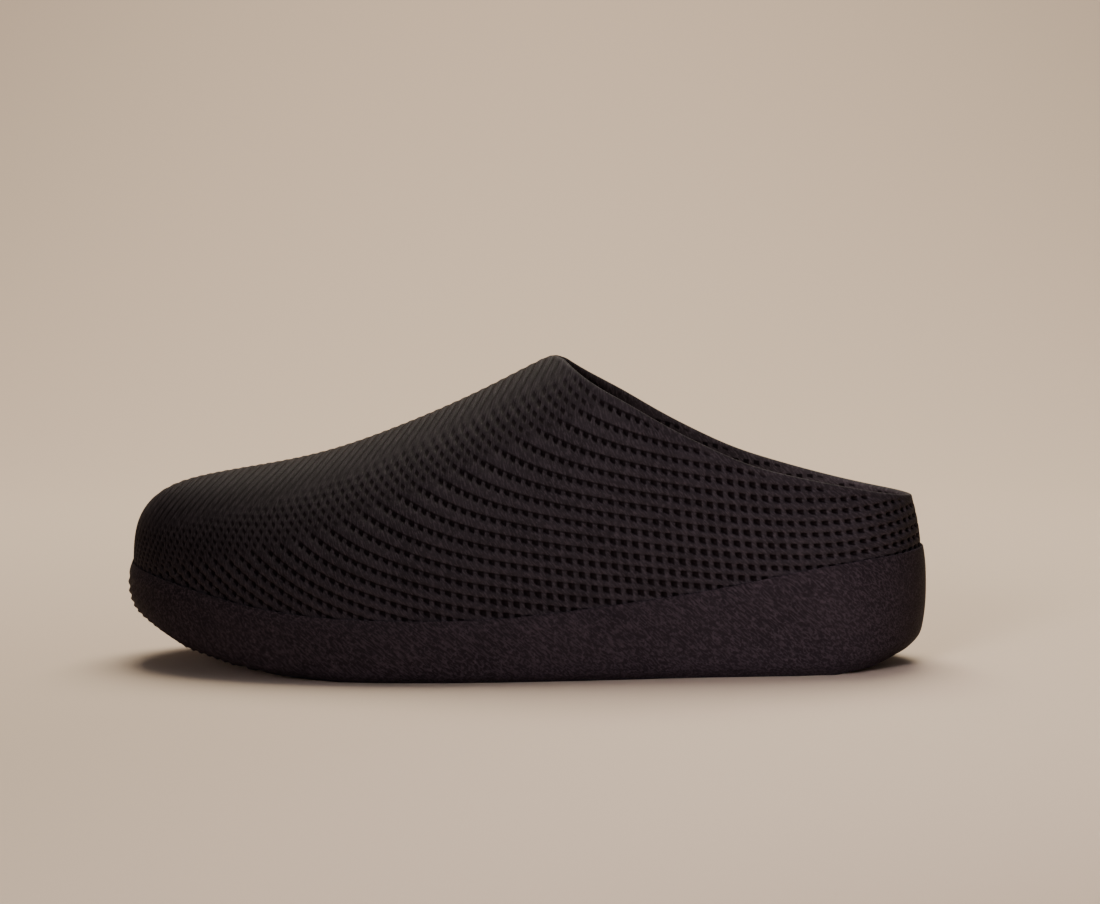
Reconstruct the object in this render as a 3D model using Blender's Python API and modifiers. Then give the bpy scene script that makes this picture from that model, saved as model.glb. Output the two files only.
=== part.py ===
import bpy
import bmesh
import numpy as np
from math import acos, cos, pi, sin

# Left slip-on clog shoe. Toe at -X, heel at +X, lateral side at -Y, floor at Z = 0.
# All sizes here are millimetres; "along" is measured from the tip of the toe.

MM = 0.001

SOLE_LENGTH = 285.0
UPPER_WALL = 2.4
SEAT_GAP = 0.3
LIP_WIDTH = 0.9
LIP_DEPTH = 3.0
INSOLE_THICK = 4.0
INSOLE_SIDE_GAP = 0.6
HEEL_LEAN_WIDTH = 37.0
LEAN_START = 150.0
LEAN_FULL = 215.0
COLLAR_PEAK = 154.0
COLLAR_JOIN = 266.0
TOE_ROUND = 45.0
HEEL_ROUND = 37.0
HALF_STEPS = 16
CORNER_STEP = 10
CORNER_RUN = 10.0
SWEEP_START = 85.0

# Widest outline of the sole, seen from above.
PLAN_COLUMNS = ("along", "lateral", "medial")
PLAN = [
    (0.0, 8.0, 8.0),
    (3.0, -7.0, 22.5),
    (10.0, -18.5, 33.0),
    (25.0, -31.0, 42.5),
    (50.0, -43.5, 49.5),
    (75.0, -50.5, 51.0),
    (100.0, -53.5, 49.0),
    (130.0, -52.6, 44.5),
    (165.0, -48.2, 40.0),
    (200.0, -42.6, 38.0),
    (230.0, -39.4, 38.0),
    (255.0, -35.0, 35.5),
    (270.0, -28.0, 28.5),
    (280.0, -17.0, 17.5),
    (285.0, 0.0, 0.0),
]

# Heights of the sole: underside and the upper edge of its side.
SOLE_COLUMNS = ("along", "underside", "edge")
SOLE = [
    (0.0, 23.0, 36.2),
    (8.0, 17.2, 33.9),
    (26.0, 8.2, 30.0),
    (44.0, 3.8, 26.1),
    (61.0, 1.4, 23.4),
    (80.0, 0.0, 21.9),
    (105.0, 0.0, 21.4),
    (135.0, 0.0, 22.2),
    (170.0, 0.0, 25.7),
    (205.0, 0.0, 30.4),
    (240.0, 0.0, 37.0),
    (250.0, 0.0, 38.5),
    (262.0, 2.0, 40.1),
    (272.0, 5.4, 41.0),
    (280.0, 7.4, 41.8),
    (285.0, 8.6, 42.2),
]

# Side of the sole from the floor up: share of the height and inset from the widest outline.
SIDE_COLUMNS = ("share", "inset")
SIDE = [
    (0.0, 5.0),
    (0.07, 2.7),
    (0.20, 1.0),
    (0.42, 0.1),
    (0.65, 0.0),
    (0.85, 0.2),
    (1.0, 0.7),
]

# Upper: top line over the foot (behind the collar peak the last goes on unseen),
# sideways place of that line, and the roundness of the cross section.
LAST_COLUMNS = ("along", "top", "shift", "rise_power", "span_power")
LAST = [
    (1.6, 40.0, 8.0, 2.0, 2.3),
    (3.0, 47.6, 8.0, 2.0, 2.3),
    (5.0, 52.8, 7.9, 2.0, 2.3),
    (8.0, 57.0, 7.7, 2.0, 2.3),
    (15.0, 62.2, 7.2, 2.0, 2.3),
    (29.0, 66.6, 6.4, 1.95, 2.25),
    (44.0, 69.4, 5.6, 1.9, 2.2),
    (72.0, 75.3, 4.2, 1.8, 2.15),
    (101.0, 85.0, 2.6, 1.7, 2.1),
    (129.0, 97.3, 1.2, 1.7, 2.1),
    (154.0, 109.2, 0.0, 1.75, 2.1),
    (176.0, 118.0, 0.0, 1.9, 2.15),
    (204.0, 120.0, 0.0, 2.1, 2.2),
    (240.0, 110.0, 0.0, 2.0, 2.2),
    (283.4, 95.0, 0.0, 1.7, 2.0),
]

# Collar line, seen from the side.
COLLAR_COLUMNS = ("along", "lateral", "medial")
COLLAR = [
    (154.0, 109.2, 109.2),
    (160.0, 104.6, 106.2),
    (176.0, 94.6, 97.4),
    (190.0, 86.5, 89.2),
    (204.0, 79.4, 81.8),
    (218.0, 73.3, 75.4),
    (233.0, 69.1, 70.4),
    (250.0, 65.5, 65.8),
    (268.0, 62.2, 62.0),
    (283.0, 59.8, 59.8),
]

# Sections of the upper: the vamp along its top line, the quarters as shares of the way to the heel.
VAMP_STATIONS = [
    0.0, 0.35, 1.2, 2.6, 4.6, 7.2, 10.5, 14.5, 19.5, 25.5, 32.5, 40.5, 49.5, 59.0, 69.0, 79.0, 89.0,
    98.5, 108.0, 117.0, 125.5, 133.5, 141.0, 148.0, 154.0,
]
QUARTER_SHARES = [
    0.06, 0.125, 0.19, 0.26, 0.33, 0.40, 0.47, 0.54, 0.61, 0.68, 0.745, 0.805, 0.86, 0.905, 0.94, 0.966,
    0.984, 0.995, 1.0,
]

# Sections of the sole and the insole.
SOLE_STATIONS = [
    0.0, 0.35, 1.2, 2.6, 4.6, 7.2, 10.5, 14.5, 19.5, 25.5, 32.5, 40.5, 49.5, 59.0, 69.0, 79.0, 89.0,
    99.0, 109.0, 119.0, 129.0, 139.0, 149.0, 159.0, 169.0, 179.0, 189.0, 199.0, 209.0, 219.0, 229.0,
    239.0, 247.0, 254.0, 260.0, 265.5, 270.5, 274.5, 277.7, 280.2, 282.2, 283.8, 284.7, 285.0,
]


def sweep(along):
    share = min(max(along / SOLE_LENGTH, 0.0), 1.0)
    return acos(1.0 - 2.0 * share)


def smooth_curve(rows, column):
    # Natural cubic through the rows, over the sweep angle so that both ends stay round.
    x = np.array([sweep(row[0]) for row in rows])
    y = np.array([row[column] for row in rows])
    count = len(x)
    gap = np.diff(x)
    matrix = np.eye(count)
    right = np.zeros(count)
    for k in range(1, count - 1):
        matrix[k, k - 1] = gap[k - 1]
        matrix[k, k] = 2.0 * (gap[k - 1] + gap[k])
        matrix[k, k + 1] = gap[k]
        right[k] = 6.0 * ((y[k + 1] - y[k]) / gap[k] - (y[k] - y[k - 1]) / gap[k - 1])
    bend = np.linalg.solve(matrix, right)

    def value(along):
        at = min(max(sweep(along), x[0]), x[-1])
        k = min(max(int(np.searchsorted(x, at)) - 1, 0), count - 2)
        h = gap[k]
        a = (x[k + 1] - at) / h
        b = (at - x[k]) / h
        curve = (a ** 3 - a) * bend[k] + (b ** 3 - b) * bend[k + 1]
        return float(a * y[k] + b * y[k + 1] + curve * h * h / 6.0)

    return value


def straight_curve(rows, column):
    x = [row[0] for row in rows]
    y = [row[column] for row in rows]

    def value(along):
        return float(np.interp(along, x, y))

    return value


plan_side = {-1: smooth_curve(PLAN, 1), 1: smooth_curve(PLAN, 2)}
sole_under = straight_curve(SOLE, 1)
sole_edge = smooth_curve(SOLE, 2)
last_top = smooth_curve(LAST, 1)
last_shift = smooth_curve(LAST, 2)
last_rise = smooth_curve(LAST, 3)
last_span = smooth_curve(LAST, 4)
collar_side = {-1: smooth_curve(COLLAR, 1), 1: smooth_curve(COLLAR, 2)}


def turn(along):
    # Heading of the outline: 0 at the tip of the toe, a quarter turn along the sides, half a turn behind.
    if along < TOE_ROUND:
        return acos(1.0 - along / TOE_ROUND)
    return pi - acos(1.0 - min((SOLE_LENGTH - along) / HEEL_ROUND, 1.0))


def outline(along, side, inset):
    # Point of the outline at a station, moved inward by the inset.
    angle = turn(along)
    return along + inset * cos(angle), plan_side[side](along) - side * inset * sin(angle)


def blend(value, low, high):
    share = min(max((value - low) / (high - low), 0.0), 1.0)
    return share * share * (3.0 - 2.0 * share)


def collar_height(along, side):
    # Both sides of the collar run together at the back of the heel.
    share = blend(along, COLLAR_JOIN, COLLAR_JOIN + 12.0)
    middle = (collar_side[-1](along) + collar_side[1](along)) / 2.0
    return collar_side[side](along) * (1.0 - share) + middle * share


def to_world(along, across, height):
    return ((along - SOLE_LENGTH / 2.0) * MM, (across - middle_across) * MM, height * MM)


reach_lateral = min(plan_side[-1](station) for station in SOLE_STATIONS)
reach_medial = max(plan_side[1](station) for station in SOLE_STATIONS)
middle_across = (reach_lateral + reach_medial) / 2.0
edge_inset = SIDE[-1][1]
seat_inset = edge_inset + LIP_WIDTH
upper_inset = seat_inset + SEAT_GAP
insole_inset = upper_inset + UPPER_WALL + INSOLE_SIDE_GAP


def seat_height(along):
    return sole_edge(along) - LIP_DEPTH


def upper_point(station, side, angle):
    # Outer face of the upper: angle 0 at the sole, a quarter turn at the top line.
    along, across = outline(station, side, upper_inset)
    foot = seat_height(along) + SEAT_GAP
    lean = blend(station, LEAN_START, LEAN_FULL)
    half = abs(across - last_shift(along))
    reach = half + (HEEL_LEAN_WIDTH - half) * lean
    inward = reach * (1.0 - max(cos(angle), 0.0) ** (2.0 / last_span(along)))
    heading = turn(station)
    height = foot + (last_top(along) - foot) * sin(angle) ** (2.0 / last_rise(along))
    along += lean * inward * cos(heading)
    across -= side * inward * (1.0 - lean + lean * sin(heading))
    return along, across, height


def collar_angle(station, side):
    # Angle at which a section meets the collar line.
    low = 0.0
    high = pi / 2.0
    for _ in range(40):
        middle = (low + high) / 2.0
        along, across, height = upper_point(station, side, middle)
        if height < collar_height(along, side):
            low = middle
        else:
            high = middle
    return low


def collar_station(angle, side):
    # Section that meets the collar line at a given angle.
    low = COLLAR_PEAK
    high = SOLE_LENGTH
    for _ in range(40):
        middle = (low + high) / 2.0
        if collar_angle(middle, side) > angle:
            low = middle
        else:
            high = middle
    return low


def vamp_rows(side):
    # Sections of the front, swept back little by little until the last one follows the collar.
    angles = [pi / 2.0 * step / HALF_STEPS for step in range(HALF_STEPS + 1)]
    corner = collar_station(angles[CORNER_STEP], side)
    back = []
    for angle in angles:
        if angle >= angles[CORNER_STEP]:
            back.append(collar_station(angle, side) - COLLAR_PEAK if angle < pi / 2.0 else 0.0)
        else:
            back.append(corner - COLLAR_PEAK + CORNER_RUN * (1.0 - angle / angles[CORNER_STEP]))
    rows = []
    for station in VAMP_STATIONS:
        share = blend(station, SWEEP_START, COLLAR_PEAK)
        rows.append([upper_point(station + share * move, side, angle) for move, angle in zip(back, angles)])
    return rows, corner


def quarter_rows(side, corner):
    # Sections behind the vamp, from the sole up to the collar line.
    first = corner + CORNER_RUN
    rows = []
    for share in QUARTER_SHARES:
        low = first + (SOLE_LENGTH - first) * share
        high = corner + (SOLE_LENGTH - corner) * share
        end = collar_angle(high, side)
        row = []
        for step in range(CORNER_STEP + 1):
            rise = step / CORNER_STEP
            row.append(upper_point(low + (high - low) * rise, side, end * rise))
        rows.append(row)
    return rows


def new_object(name, bm, collection, colour, roughness):
    mesh = bpy.data.meshes.new(name)
    bm.to_mesh(mesh)
    bm.free()
    part = bpy.data.objects.new(name, mesh)
    collection.objects.link(part)
    material = bpy.data.materials.new(name + "_material")
    material.use_nodes = True
    shader = material.node_tree.nodes["Principled BSDF"]
    shader.inputs["Base Color"].default_value = (*colour, 1.0)
    shader.inputs["Roughness"].default_value = roughness
    mesh.materials.append(material)
    return part


def apply_modifiers(part):
    bpy.context.view_layer.objects.active = part
    for item in bpy.context.view_layer.objects:
        item.select_set(item == part)
    for modifier in list(part.modifiers):
        bpy.ops.object.modifier_apply(modifier=modifier.name)


def weld(bm):
    bmesh.ops.remove_doubles(bm, verts=bm.verts, dist=1.0e-6)
    bmesh.ops.dissolve_degenerate(bm, dist=1.0e-7, edges=bm.edges)


def join_rows(bm, first, second, side):
    for k in range(min(len(first), len(second)) - 1):
        corners = [first[k], second[k], second[k + 1], first[k + 1]]
        bm.faces.new(corners if side < 0 else corners[::-1])


def build_upper(collection):
    bm = bmesh.new()
    for side in (-1, 1):
        vamp, corner = vamp_rows(side)
        rows = []
        for row in vamp + quarter_rows(side, corner):
            rows.append([bm.verts.new(to_world(*point)) for point in row])
        for first, second in zip(rows, rows[1:]):
            join_rows(bm, first, second, side)
    weld(bm)
    part = new_object("upper", bm, collection, (0.045, 0.036, 0.036), 0.75)
    shell = part.modifiers.new("Wall", "SOLIDIFY")
    shell.thickness = UPPER_WALL * MM
    shell.offset = -1.0
    shell.use_even_offset = True
    shell.use_rim = True
    shell.use_quality_normals = True
    apply_modifiers(part)
    return part


def ring(bm, inset, height):
    # One closed row of points: lateral side from toe to heel, then medial side back.
    lateral = []
    medial = []
    for station in SOLE_STATIONS:
        for side, row in ((-1, lateral), (1, medial)):
            along, across = outline(station, side, inset)
            row.append(bm.verts.new(to_world(along, across, height(along, station))))
    return lateral, medial


def join_rings(bm, lower, upper):
    for side in (0, 1):
        for k in range(len(SOLE_STATIONS) - 1):
            corners = [lower[side][k], lower[side][k + 1], upper[side][k + 1], upper[side][k]]
            bm.faces.new(corners if side == 0 else corners[::-1])


def fill_across(bm, rows, upward):
    lateral, medial = rows
    for k in range(len(SOLE_STATIONS) - 1):
        corners = [lateral[k], lateral[k + 1], medial[k + 1], medial[k]]
        bm.faces.new(corners if upward else corners[::-1])


def build_sole(collection):
    bm = bmesh.new()
    rings = []
    foot_inset = SIDE[0][1]
    for share, inset in SIDE:
        def side_height(along, station, share=share):
            under = sole_under(outline(station, 1, foot_inset)[0])
            return under + (sole_edge(station) - under) * share
        rings.append(ring(bm, inset, side_height))

    def lip_height(along, station):
        return sole_edge(station)

    def ledge_height(along, station):
        return seat_height(along)

    rings.append(ring(bm, seat_inset, lip_height))
    rings.append(ring(bm, seat_inset, ledge_height))
    for lower, upper in zip(rings, rings[1:]):
        join_rings(bm, lower, upper)
    fill_across(bm, rings[0], False)
    fill_across(bm, rings[-1], True)
    weld(bm)
    return new_object("sole", bm, collection, (0.040, 0.028, 0.030), 0.65)


def build_insole(collection):
    bm = bmesh.new()

    def low(along, station):
        return seat_height(along) + SEAT_GAP

    def shoulder(along, station):
        return seat_height(along) + SEAT_GAP + INSOLE_THICK - 1.0

    def top(along, station):
        return seat_height(along) + SEAT_GAP + INSOLE_THICK

    rings = [
        ring(bm, insole_inset, low),
        ring(bm, insole_inset + 0.3, shoulder),
        ring(bm, insole_inset + 1.3, top),
    ]
    for lower, upper in zip(rings, rings[1:]):
        join_rings(bm, lower, upper)
    fill_across(bm, rings[0], False)
    fill_across(bm, rings[-1], True)
    weld(bm)
    return new_object("insole", bm, collection, (0.035, 0.030, 0.030), 0.85)


def main():
    for item in list(bpy.data.objects):
        bpy.data.objects.remove(item, do_unlink=True)
    collection = bpy.data.collections.new("slip_on_clog_shoe")
    bpy.context.scene.collection.children.link(collection)
    build_sole(collection)
    build_upper(collection)
    build_insole(collection)


main()
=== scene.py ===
import bpy
import numpy as np
from math import pi
from mathutils.kdtree import KDTree
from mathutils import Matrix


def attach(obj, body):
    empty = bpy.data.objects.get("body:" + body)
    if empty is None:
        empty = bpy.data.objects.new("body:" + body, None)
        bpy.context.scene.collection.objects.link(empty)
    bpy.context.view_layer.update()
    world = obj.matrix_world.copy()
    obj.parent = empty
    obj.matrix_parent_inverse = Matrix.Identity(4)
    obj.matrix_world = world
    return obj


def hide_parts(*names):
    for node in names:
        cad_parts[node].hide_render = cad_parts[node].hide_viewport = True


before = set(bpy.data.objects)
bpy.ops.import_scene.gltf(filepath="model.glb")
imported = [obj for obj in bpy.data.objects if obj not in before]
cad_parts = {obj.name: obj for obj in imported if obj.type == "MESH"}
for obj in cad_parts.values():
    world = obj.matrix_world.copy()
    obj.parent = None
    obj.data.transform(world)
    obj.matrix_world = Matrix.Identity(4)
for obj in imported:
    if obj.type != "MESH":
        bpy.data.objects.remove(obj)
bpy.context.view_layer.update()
mm = 0.001

# The last and the sole line that every piece is lofted from, in millimetres from the tip of the toe.
# Lateral is the camera's side, medial the far one.
lastShape = {
    "length": 285.0,
    "toeRound": 45.0,
    "heelRound": 37.0,
    "leanStart": 150.0,
    "leanFull": 215.0,
    "leanWidth": 37.0,
    "collarPeak": 154.0,
    "collarJoin": 266.0,
    "collarJoinRun": 12.0,
    "lipDepth": 3.0,
    "seatGap": 0.3,
    "plan": [  # along, lateral, medial
        (0, 8, 8), (3, -7, 22.5), (10, -18.5, 33), (25, -31, 42.5), (50, -43.5, 49.5), (75, -50.5, 51),
        (100, -53.5, 49), (130, -52.6, 44.5), (165, -48.2, 40), (200, -42.6, 38), (230, -39.4, 38),
        (255, -35, 35.5), (270, -28, 28.5), (280, -17, 17.5), (285, 0, 0),
    ],
    "soleLine": [  # along, underside, top edge of the side
        (0, 23, 36.2), (8, 17.2, 33.9), (26, 8.2, 30), (44, 3.8, 26.1), (61, 1.4, 23.4), (80, 0, 21.9),
        (105, 0, 21.4), (135, 0, 22.2), (170, 0, 25.7), (205, 0, 30.4), (240, 0, 37), (250, 0, 38.5),
        (262, 2, 40.1), (272, 5.4, 41), (280, 7.4, 41.8), (285, 8.6, 42.2),
    ],
    "sections": [  # along, top, shift across, power of the rise, power of the span
        (1.6, 40, 8, 2, 2.3), (3, 47.6, 8, 2, 2.3), (5, 52.8, 7.9, 2, 2.3), (8, 57, 7.7, 2, 2.3),
        (15, 62.2, 7.2, 2, 2.3), (29, 66.6, 6.4, 1.95, 2.25), (44, 69.4, 5.6, 1.9, 2.2),
        (72, 75.3, 4.2, 1.8, 2.15), (101, 85.6, 2.6, 1.7, 2.1), (129, 98.1, 1.2, 1.7, 2.1),
        (154, 110.5, 0, 1.75, 2.1), (176, 118, 0, 1.9, 2.15), (204, 120, 0, 2.1, 2.2),
        (240, 110, 0, 2, 2.2), (283.4, 95, 0, 1.7, 2.0),
    ],
    "collar": [  # along, lateral, medial
        (154, 110.5, 110.5), (160, 104.8, 106.4), (176, 94.6, 97.4), (190, 86.5, 89.2), (204, 79.4, 81.8),
        (218, 73.3, 75.4), (233, 69.1, 70.4), (250, 65.5, 65.8), (268, 62.2, 62), (283, 59.8, 59.8),
    ],
}
shoeLength = lastShape["length"]

# Fineness of the sums, and limits for welding and shading the meshes
meshSetup = {
    "planSteps": 2000,
    "runSteps": 6000,
    "halvings": 32,
    "weld": 1e-6,
    "sliver": 1e-7,
    "crease": 0.9,
}


def naturalCubic(x, y):
    count = len(x)
    gap = np.diff(x)
    matrix = np.eye(count)
    right = np.zeros(count)
    for k in range(1, count - 1):
        matrix[k, k - 1] = gap[k - 1]
        matrix[k, k] = 2 * (gap[k - 1] + gap[k])
        matrix[k, k + 1] = gap[k]
        right[k] = 6 * ((y[k + 1] - y[k]) / gap[k] - (y[k] - y[k - 1]) / gap[k - 1])
    bend = np.linalg.solve(matrix, right)

    def value(at):
        at = np.clip(at, x[0], x[-1])
        k = np.clip(np.searchsorted(x, at) - 1, 0, count - 2)
        h = gap[k]
        a = (x[k + 1] - at) / h
        b = (at - x[k]) / h
        return a * y[k] + b * y[k + 1] + ((a ** 3 - a) * bend[k] + (b ** 3 - b) * bend[k + 1]) * h * h / 6

    return value


def tableCurve(rows):
    x, y = np.array(rows, float).T
    return naturalCubic(x, y)


def sweep(along):
    return np.arccos(1 - 2 * np.clip(np.asarray(along, float) / shoeLength, 0, 1))


def shoeCurve(rows, column):  # smooth through the rows, round at both ends of the shoe
    table = np.array(rows, float)
    curve = naturalCubic(sweep(table[:, 0]), table[:, column])
    return lambda along: curve(sweep(along))


planSide = {-1: shoeCurve(lastShape["plan"], 1), 1: shoeCurve(lastShape["plan"], 2)}
collarSide = {-1: shoeCurve(lastShape["collar"], 1), 1: shoeCurve(lastShape["collar"], 2)}
soleEdge = shoeCurve(lastShape["soleLine"], 2)
sectionTop = shoeCurve(lastShape["sections"], 1)
sectionShift = shoeCurve(lastShape["sections"], 2)
sectionRise = shoeCurve(lastShape["sections"], 3)
sectionSpan = shoeCurve(lastShape["sections"], 4)
finePlan = np.linspace(0, shoeLength, meshSetup["planSteps"])
middleAcross = (planSide[-1](finePlan).min() + planSide[1](finePlan).max()) / 2


def soleUnder(along):
    table = np.array(lastShape["soleLine"], float)
    return np.interp(along, table[:, 0], table[:, 1])


def turn(along):  # heading of the outline: 0 at the toe, a quarter turn on the sides, half a turn behind
    toe = np.arccos(1 - np.clip(along / lastShape["toeRound"], 0, 1))
    heel = pi - np.arccos(1 - np.clip((shoeLength - along) / lastShape["heelRound"], 0, 1))
    return np.where(along < lastShape["toeRound"], toe, heel)


def outline(along, side, inset):
    heading = turn(along)
    return along + inset * np.cos(heading), planSide[side](along) - side * inset * np.sin(heading)


def easeStep(value, low, high):
    share = np.clip((value - low) / (high - low), 0, 1)
    return share * share * (3 - 2 * share)


def softOver(value, ease):  # nothing below zero, the value itself above, with a soft turn between
    return ease * np.log(1 + np.exp(value / ease))


def seatHeight(along):
    return soleEdge(along) - lastShape["lipDepth"]


def toWorld(along, across, height):
    return np.stack([(along - shoeLength / 2) * mm, (across - middleAcross) * mm, height * mm], axis=-1)


def evenStations(run, step):  # stations that lie evenly along an outline, an even number of steps
    at = np.linspace(0, 1, meshSetup["runSteps"])
    along, across = run(at)
    length = np.concatenate([[0], np.cumsum(np.hypot(np.diff(along), np.diff(across)))])
    count = 2 * max(1, round(length[-1] / step / 2))
    return np.interp(np.linspace(0, length[-1], count + 1), length, at)


def addRow(points, along, across, height):  # one line of points, given back as their numbers
    start = sum(len(row) for row in points)
    points.append(toWorld(along, across, height))
    return np.arange(start, start + len(along))


def addRing(points, stations, inset, height):
    ring = {}
    for side in (-1, 1):
        along, across = outline(stations, side, inset)
        ring[side] = addRow(points, along, across, height(along, across))
    return ring


def joinRows(faces, first, second, outward):
    for k in range(min(len(first), len(second)) - 1):
        corners = [first[k], first[k + 1], second[k + 1], second[k]]
        faces.append(corners if outward else corners[::-1])


def joinRings(faces, rings):
    for lower, higher in zip(rings, rings[1:]):
        for side in (-1, 1):
            joinRows(faces, lower[side], higher[side], side < 0)


def fillAcross(points, faces, ring, stations, inset, rows, upward, height):
    lateral = np.stack(outline(stations, -1, inset))
    medial = np.stack(outline(stations, 1, inset))
    lines = [ring[-1]]
    for step in range(1, rows):
        along, across = lateral + (medial - lateral) * step / rows
        lines.append(addRow(points, along, across, height(along, across, step / rows)))
    lines.append(ring[1])
    for first, second in zip(lines, lines[1:]):
        joinRows(faces, first, second, upward)


def makePiece(name, points, faces):
    mesh = bpy.data.meshes.new(name)
    mesh.from_pydata(np.concatenate(points), [], [[int(i) for i in face] for face in faces])
    piece = bpy.data.objects.new(name, mesh)
    bpy.context.scene.collection.objects.link(piece)
    bpy.ops.object.select_all(action="DESELECT")
    bpy.context.view_layer.objects.active = piece
    piece.select_set(True)
    return piece


def weldPiece():  # closes the tips of the piece just made
    bpy.ops.object.mode_set(mode="EDIT")
    bpy.ops.mesh.select_all(action="SELECT")
    bpy.ops.mesh.remove_doubles(threshold=meshSetup["weld"])
    bpy.ops.mesh.dissolve_degenerate(threshold=meshSetup["sliver"])
    bpy.ops.mesh.normals_make_consistent(inside=False)
    bpy.ops.object.mode_set(mode="OBJECT")
    bpy.ops.object.shade_smooth_by_angle(angle=meshSetup["crease"])


# Camera

cameraSetup = {
    "place": (0.0088, -0.7988, 0.1269),
    "pitchDown": 0.0651,
    "lens": 73.84,
    "sensor": 36.0,
}
bpy.ops.object.select_all(action="DESELECT")
bpy.ops.object.camera_add(location=cameraSetup["place"], rotation=(pi / 2 - cameraSetup["pitchDown"], 0, 0))
camera = bpy.context.object
camera.data.sensor_fit = "HORIZONTAL"
camera.data.sensor_width = cameraSetup["sensor"]
camera.data.lens = cameraSetup["lens"]
bpy.context.scene.camera = camera
print("camera placed")


# Node helpers

grainSetup = {
    "detail": 4.0,
    "roughness": 0.6,
    "mottleDetail": 3.0,
    "threadDetail": 2.0,
    "middle": (0.3, 0.7),    # where most of the grain lies
}


def feed(tree, node, inputs):  # links what comes from a node, and sets anything else on the input itself
    for socket, value in inputs.items():
        if isinstance(value, bpy.types.NodeSocket):
            tree.links.new(value, node.inputs[socket])
        else:
            node.inputs[socket].default_value = value


def addNode(tree, kind, settings=None, inputs=None):
    node = tree.nodes.new(kind)
    for name, value in (settings or {}).items():
        setattr(node, name, value)
    feed(tree, node, inputs or {})
    return node


def maths(tree, operation, *values):
    return addNode(tree, "ShaderNodeMath", {"operation": operation}, dict(enumerate(values))).outputs[0]


def product(tree, first, *others):
    for value in others:
        first = maths(tree, "MULTIPLY", first, value)
    return first


def softStep(tree, value, low, high):
    node = addNode(tree, "ShaderNodeMapRange", {"interpolation_type": "SMOOTHSTEP"},
                   {"Value": value, "From Min": low, "From Max": high})
    return node.outputs["Result"]


def cellPlace(tree, value):  # from -0.5 to 0.5 across each cell
    return maths(tree, "SUBTRACT", maths(tree, "FRACT", maths(tree, "ADD", value, 0.5)), 0.5)


def mixColour(tree, share, first, second):
    node = addNode(tree, "ShaderNodeMix", {"data_type": "RGBA"}, {0: share, 6: first, 7: second})
    return node.outputs[2]


def tint(tree, under, over, pattern, low, high, share):  # lays a colour over another where a pattern is high
    return mixColour(tree, product(tree, softStep(tree, pattern, low, high), share), under, over)


def gained(colour, gain):
    return tuple(part * gain for part in colour[:3]) + (1,)


def roughFrom(tree, grain, low, high):
    start, end = grainSetup["middle"]
    node = addNode(tree, "ShaderNodeMapRange", None,
                   {"Value": grain, "From Min": start, "From Max": end, "To Min": low, "To Max": high})
    return node.outputs["Result"]


def threadNoise(tree, vector, rotation, draw, size, roughness):  # noise drawn out into threads
    turned = addNode(tree, "ShaderNodeMapping", None, {"Vector": vector, "Rotation": rotation})
    drawn = addNode(tree, "ShaderNodeMapping", None, {"Vector": turned.outputs["Vector"], "Scale": draw})
    noise = addNode(tree, "ShaderNodeTexNoise", None,
                    {"Vector": drawn.outputs["Vector"], "Scale": size, "Detail": grainSetup["threadDetail"],
                     "Roughness": roughness})
    return noise.outputs["Fac"]


def bumpFrom(tree, height, strength, distance, under=None):
    inputs = {"Height": height, "Strength": strength, "Distance": distance}
    if under is not None:
        inputs["Normal"] = under
    return addNode(tree, "ShaderNodeBump", None, inputs).outputs["Normal"]


def newGroup(name, vector, values, results):
    group = bpy.data.node_groups.new(name, "ShaderNodeTree")
    group.interface.new_socket(vector, in_out="INPUT", socket_type="NodeSocketVector")
    for socket in values:
        group.interface.new_socket(socket, in_out="INPUT", socket_type="NodeSocketFloat")
    for socket in results:
        group.interface.new_socket(socket, in_out="OUTPUT", socket_type="NodeSocketFloat")
    start = group.nodes.new("NodeGroupInput")
    end = group.nodes.new("NodeGroupOutput")
    return group, start.outputs, end


def useGroup(tree, group, inputs):
    return addNode(tree, "ShaderNodeGroup", {"node_tree": group}, inputs).outputs


def newMaterial(name):
    material = bpy.data.materials.new(name)
    material.use_nodes = True
    tree = material.node_tree
    return material, tree, tree.nodes["Principled BSDF"]


def makeGrainGroup():  # fine grain, and a slower mottle
    group, given, end = newGroup("fineGrain", "Vector", ("Grain Size", "Mottle Size"), ("Grain", "Mottle"))
    grain = addNode(group, "ShaderNodeTexNoise", None,
                    {"Vector": given["Vector"], "Scale": given["Grain Size"], "Detail": grainSetup["detail"],
                     "Roughness": grainSetup["roughness"]})
    mottle = addNode(group, "ShaderNodeTexNoise", None,
                     {"Vector": given["Vector"], "Scale": given["Mottle Size"],
                      "Detail": grainSetup["mottleDetail"]})
    feed(group, end, {"Grain": grain.outputs["Fac"], "Mottle": mottle.outputs["Fac"]})
    return group


grainGroup = makeGrainGroup()
print("shared node group made")


# Upper: one hollow shell with a waffle of pits, streaks along the ridge and a narrow plain band at the collar

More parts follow.
